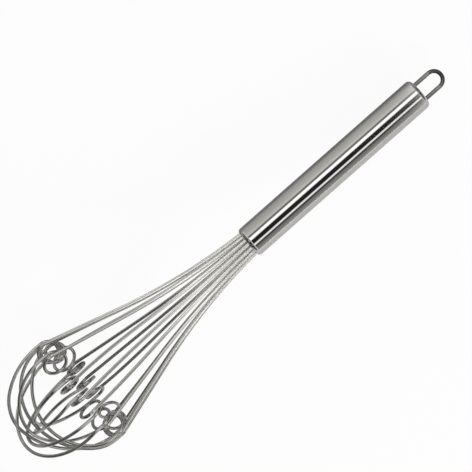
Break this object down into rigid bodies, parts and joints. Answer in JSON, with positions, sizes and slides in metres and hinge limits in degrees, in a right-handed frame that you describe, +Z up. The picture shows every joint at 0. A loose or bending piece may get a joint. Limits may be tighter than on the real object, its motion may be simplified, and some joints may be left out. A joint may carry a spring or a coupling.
{
  "type": "dough whisk",
  "caption": "Stainless wire whisk with a round tube handle, a hang loop and a balloon of wires, each with an inward curl on both legs.",
  "frame": {"origin": "bottom centre of the part's box, on the surface that the whisk lies on", "axes": "+X from the hang loop's end to the balloon's tip, +Z up; the handle's axis lies in the XZ plane and its tip end is raised"},
  "size_m": [0.2988, 0.0665, 0.0663],
  "materials": {
    "handle_steel": "polished",
    "cap_steel": "satin",
    "loop_steel": "polished",
    "wire_steel": "polished",
    "core_plastic": "moulded",
    "seal_rubber": "moulded"
  },
  "bodies": {
    "root": {"handle_tube": "handle_steel", "end_cap": "cap_steel", "hang_loop": "loop_steel", "wire_core": "core_plastic", "mouth_seal": "seal_rubber", "wire_1": "wire_steel", "wire_2": "wire_steel", "wire_3": "wire_steel", "wire_4": "wire_steel", "wire_5": "wire_steel", "wire_6": "wire_steel", "wire_7": "wire_steel", "wire_8": "wire_steel"}
  },
  "joints": []
}
